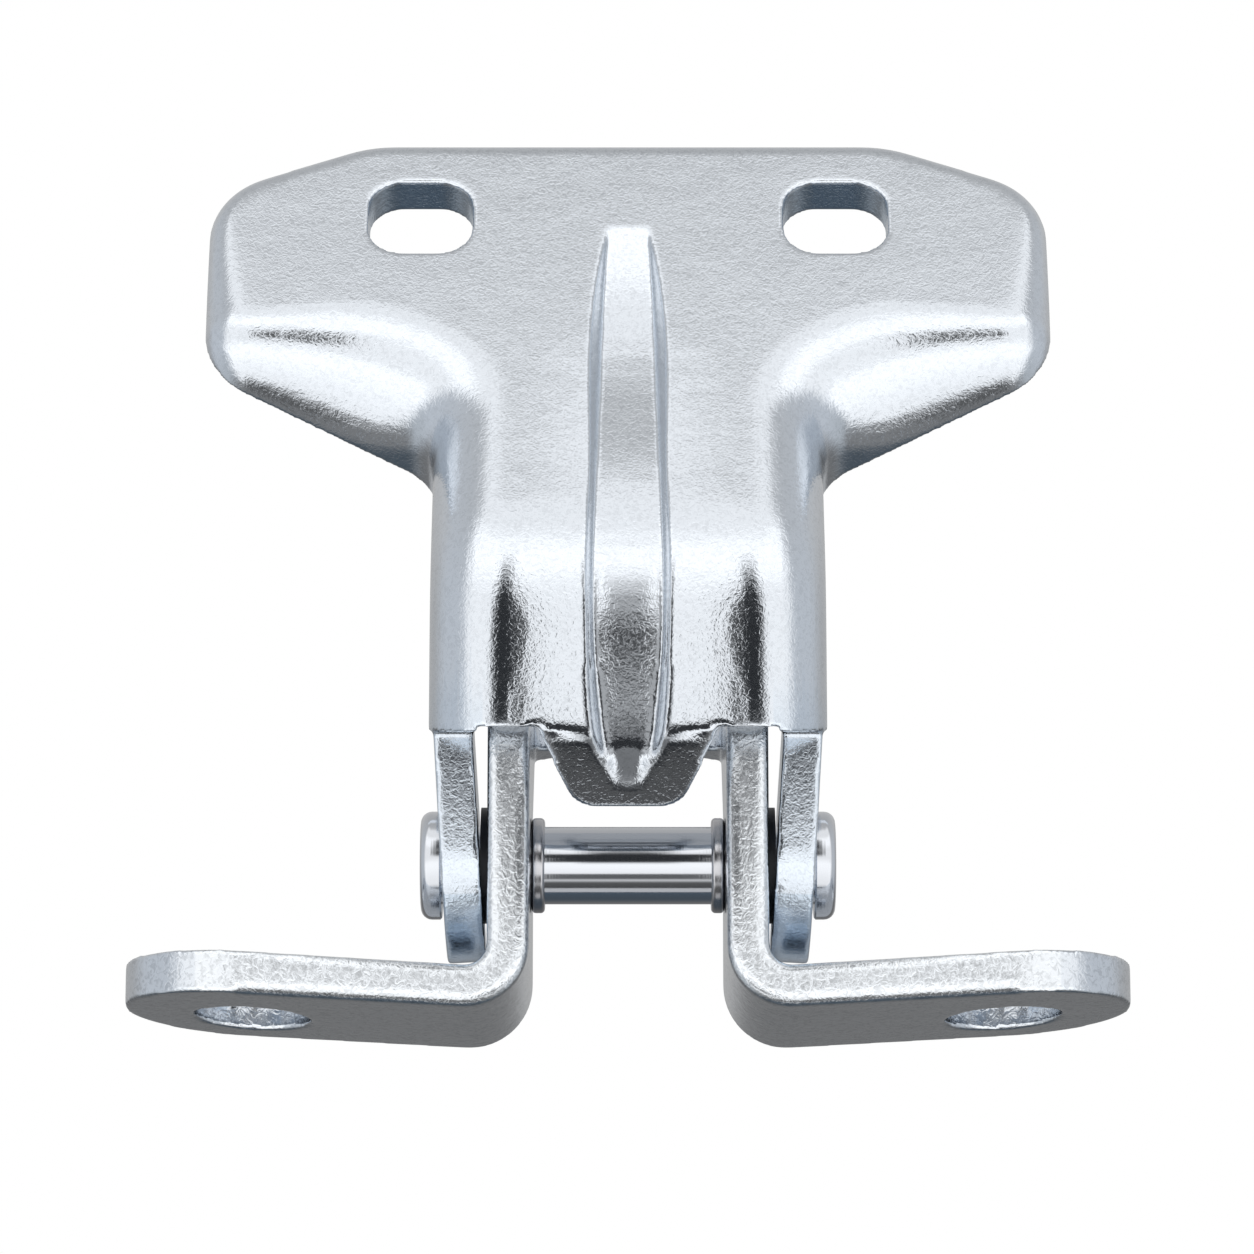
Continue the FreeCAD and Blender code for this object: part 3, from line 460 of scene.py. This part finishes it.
def door_cut_share(place):
    """How sheared the sheet is: wholly on the walls of the slots, a little behind the plate's face, and
    on the lower ears, less on the upper ears, and nowhere else."""
    in_slot = abs(abs(place.x) - SLOT_MIDDLE) < SLOT_REACH and SLOT_LOW < place.z < SLOT_TOP
    if in_slot and place.dot(PLATE_TILT) < PLATE_FACE - SLOT_LIP:
        return 1.0
    if place.z < EAR_TOP and abs(place.x) > EAR_INSIDE:
        return EAR_TOP_SHARE if place.z > EAR_FOOT else 1.0
    return 0.0


# The fifth value is the share of painted shade in the orange peel's hollows.
door_zinc = zinc_plate("zinc_on_drawn_steel", 0.52, 0.031, 0.1, 0.1, "#c9d5e1")
door_skin = pressed_copy("door_bracket", 7, is_soft_place=in_soft_zone)
mark_cut_edges(door_skin, door_cut_share)
door_skin.data.materials.append(door_zinc)
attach(door_skin, "door_side")
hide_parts("door_bracket")

# Body bracket: a strap of 4.9 mm steel, pierced and bent into two feet, two arms and the wall behind
# them, and plated like its partner. Its sheared front edges are rounded.
STRAP_FRONT = min(vertex.co.y for vertex in frame["nodes"]["body_bracket"].data.vertices)
FRONT_REACH = 1e-5
SHARP_ANGLE = math.radians(30)
RIM_RADIUS = 0.0013
FRONT_CUT = STRAP_FRONT + 0.0009


def is_front_rim(edge):
    """A sharp edge of the strap's sheared front face."""
    at_front = all(abs(vertex.co.y - STRAP_FRONT) < FRONT_REACH for vertex in edge.verts)
    return at_front and edge.calc_face_angle(0) > SHARP_ANGLE


# The fifth value is the share of painted shade in the orange peel's hollows.
body_zinc = zinc_plate("zinc_on_bent_strap", 0.7, 0.042, 0.13, 0.2, "#e6eaee")
body_skin = pressed_copy("body_bracket", 6, is_front_rim, RIM_RADIUS)
mark_cut_edges(body_skin, lambda place: place.y < FRONT_CUT)
body_skin.data.materials.append(body_zinc)
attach(body_skin, "body_side")
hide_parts("body_bracket")

# Hinge pin: turned from bright steel bar and polished. It is pressed through both ears, and a button
# head is formed at each end.
PIN_PLACE = Vector((0, *frame["joints"][0]["pos_m"][1:]))
RING_MM = 0.25
RING_HEIGHT_MM = 0.004
HEAD_EDGE = 0.0013
HEAD_THICK = 0.00245
HEAD_BEVEL = 0.0002
SHANK_RADIUS = 0.0045
SAME_SPUN_POINT = 1e-7
CREASE_ANGLE = math.radians(35)


def polished_steel(name, colour, roughness):
    """Turned steel: fine rings round the pin's axis in a near mirror."""
    material, tree = new_material(name)
    place = add_node(tree, "ShaderNodeTexCoord").outputs["Object"]
    along = add_node(tree, "ShaderNodeSeparateXYZ", {0: place}).outputs["X"]
    rings = add_node(
        tree,
        "ShaderNodeTexNoise",
        {"W": along, "Scale": 1000 / RING_MM, "Detail": 2.0},
        noise_dimensions="1D",
    )
    ring_height = RING_HEIGHT_MM / 1000
    bump = add_node(tree, "ShaderNodeBump", {"Height": rings.outputs[0], "Distance": ring_height})
    metal = add_node(
        tree,
        "ShaderNodeBsdfPrincipled",
        {"Base Color": linear(colour), "Metallic": 1.0, "Roughness": roughness, "Normal": bump.outputs[0]},
    )
    add_node(tree, "ShaderNodeOutputMaterial", {"Surface": metal.outputs[0]})
    return material


def rounded_end(along, radius, edge, direction, steps=6):
    """Points round the rim of a disc's end face, from its side to its face."""
    points = []
    for step in range(steps + 1):
        turn = math.pi / 2 * step / steps
        reach = along + direction * edge * (math.sin(turn) - 1)
        points.append((reach, radius - edge * (1 - math.cos(turn))))
    return points


def turned(name, profile, steps=160):
    """A turned piece: a profile of (along, radius) points in metres, spun about the pin's axis. It is
    closed on itself unless it starts and ends on the axis."""
    form = bmesh.new()
    points = [form.verts.new((along, 0, radius)) for along, radius in profile]
    edges = [form.edges.new(points[i:i + 2]) for i in range(len(points) - 1)]
    if profile[0][1] > 0:
        edges.append(form.edges.new((points[-1], points[0])))
    bmesh.ops.spin(
        form,
        geom=points + edges,
        cent=(0, 0, 0),
        axis=(1, 0, 0),
        angle=2 * math.pi,
        steps=steps,
        use_merge=True,
    )
    bmesh.ops.remove_doubles(form, verts=form.verts, dist=SAME_SPUN_POINT)
    bmesh.ops.recalc_face_normals(form, faces=form.faces)
    bmesh.ops.translate(form, verts=form.verts, vec=PIN_PLACE)
    mesh = bpy.data.meshes.new(name)
    form.to_mesh(mesh)
    form.free()
    for face in mesh.polygons:
        face.use_smooth = True
    mesh.set_sharp_from_angle(angle=CREASE_ANGLE)
    piece = bpy.data.objects.new(name, mesh)
    bpy.context.scene.collection.objects.link(piece)
    return piece


def reach_of(node):
    """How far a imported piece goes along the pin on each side, and its greatest radius."""
    places = [vertex.co - PIN_PLACE for vertex in frame["nodes"][node].data.vertices]
    radii = [math.hypot(place.y, place.z) for place in places]
    return min(place.x for place in places), max(place.x for place in places), max(radii)


pin_end, head_radius = reach_of("hinge_pin")[1:]
head_inside = pin_end - HEAD_THICK
right_half = [
    (head_inside, SHANK_RADIUS),
    (head_inside, head_radius - HEAD_BEVEL),
    (head_inside + HEAD_BEVEL, head_radius),
    *rounded_end(pin_end, head_radius, HEAD_EDGE, 1),
    (pin_end, 0.0),
]
left_half = [(-along, radius) for along, radius in reversed(right_half)]
pin_skin = turned("hinge_pin_skin", left_half + right_half)
pin_skin.data.materials.append(polished_steel("polished_pin_steel", "#d2d5da", 0.11))
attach(pin_skin, "door_side")
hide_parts("hinge_pin")

# Collars: two rings of turned steel, duller than the pin, staked on it against the insides of the arms
# so that the bracket can't slide along.
COLLAR_EDGE = 0.0005
collar_steel = polished_steel("dull_collar_steel", "#bfbfc2", 0.2)
for node in ("left_collar", "right_collar"):
    low, high, radius = reach_of(node)
    profile = rounded_end(high, radius, COLLAR_EDGE, 1)[::-1] + rounded_end(low, radius, COLLAR_EDGE, -1)
    profile += [(low, SHANK_RADIUS), (high, SHANK_RADIUS)]
    collar_skin = turned(node + "_skin", profile)
    collar_skin.data.materials.append(collar_steel)
    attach(collar_skin, "door_side")
    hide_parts(node)

# Bushes: thin flanged liners pressed into the arms, dull and near-black blue all over: in part a dark sliding
# layer, in part painted shade of the narrow gaps between the ears and the arms. The pin turns in them, and
# their flanges keep the ears off the arms. The imported pieces themselves are shown.
liner_and_gap_shade, tree = new_material("bush_liner_and_painted_shade")
# Painted shade: the near-black blue is in part the bushes' own dark layer, in part the shade in the gaps.
dull = add_node(tree, "ShaderNodeBsdfPrincipled", {"Base Color": linear("#1c222b"), "Roughness": 0.45})
add_node(tree, "ShaderNodeOutputMaterial", {"Surface": dull.outputs[0]})
for node in ("left_bush", "right_bush"):
    frame["nodes"][node].data.materials.clear()
    frame["nodes"][node].data.materials.append(liner_and_gap_shade)

corners = {
    "cad": [list(corner) for corner in cad_box],
    "visual": [list(corner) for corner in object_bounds()],
}
